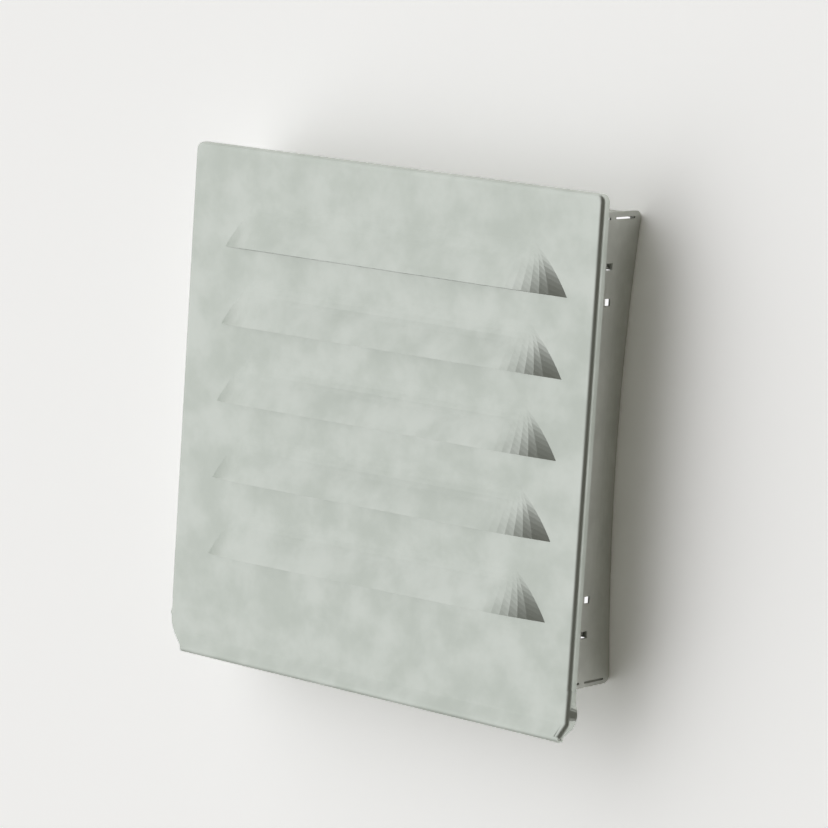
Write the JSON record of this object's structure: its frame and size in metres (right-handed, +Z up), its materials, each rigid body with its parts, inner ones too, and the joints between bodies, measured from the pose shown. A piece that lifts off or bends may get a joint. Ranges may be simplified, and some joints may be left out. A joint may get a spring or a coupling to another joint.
{
  "type": "ventilation grille",
  "caption": "Galvanised sheet-steel louvred wall vent: square face with pressed louvres and a drip lip, and a short square collar with a wire screen behind.",
  "frame": {"origin": "middle of the wall plane: the plane of the turned edge's rear rim, centred between the face's sides and between its top edge and the bend of the drip lip", "axes": "+X to the right as seen from the front, +Y back into the wall along the collar, +Z up"},
  "size_m": [0.165, 0.037, 0.1683],
  "materials": {
    "zinc_face": "galvanised, dull satin with faint rolling marks",
    "zinc_collar": "galvanised, dull grey",
    "zinc_wire": "galvanised wire, dull"
  },
  "bodies": {
    "root": {"front_plate": "zinc_face", "collar_left_wall": "zinc_collar", "collar_right_wall": "zinc_collar", "collar_top_wall": "zinc_collar", "collar_bottom_wall": "zinc_collar", "insect_screen": "zinc_wire"}
  },
  "joints": []
}
